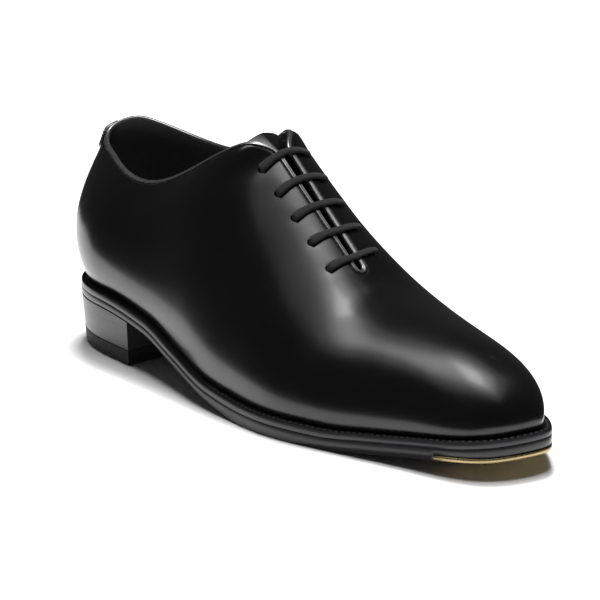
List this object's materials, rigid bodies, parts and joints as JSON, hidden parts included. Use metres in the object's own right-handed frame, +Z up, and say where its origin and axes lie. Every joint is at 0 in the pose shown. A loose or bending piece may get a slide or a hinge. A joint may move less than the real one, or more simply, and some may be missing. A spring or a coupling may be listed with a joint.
{
  "type": "whole cut oxford shoe",
  "caption": "Black whole-cut oxford shoe for the right foot, one-piece calf upper, straight-bar lacing, stitched welt, leather sole with flush toe plate and stacked heel.",
  "frame": {"origin": "on the floor, under the middle of the shoe's length and width", "axes": "+X towards the toe, +Y towards the medial side (right shoe), +Z up"},
  "size_m": [0.2932, 0.0936, 0.118],
  "materials": {
    "calf_black": "polished box calf",
    "lining_black": "matt lining leather",
    "lace_black": "waxed cotton",
    "sole_edge_black": "inked and waxed edge",
    "brass": "satin",
    "top_piece_rubber": "matt"
  },
  "bodies": {
    "root": {"upper": "calf_black", "heel_tab": "calf_black", "tongue": "lining_black", "laces": "lace_black", "insole": "lining_black", "welt": "sole_edge_black", "outsole": "sole_edge_black", "toe_plate": "brass", "heel_stack": "sole_edge_black", "top_piece": "top_piece_rubber"}
  },
  "joints": []
}
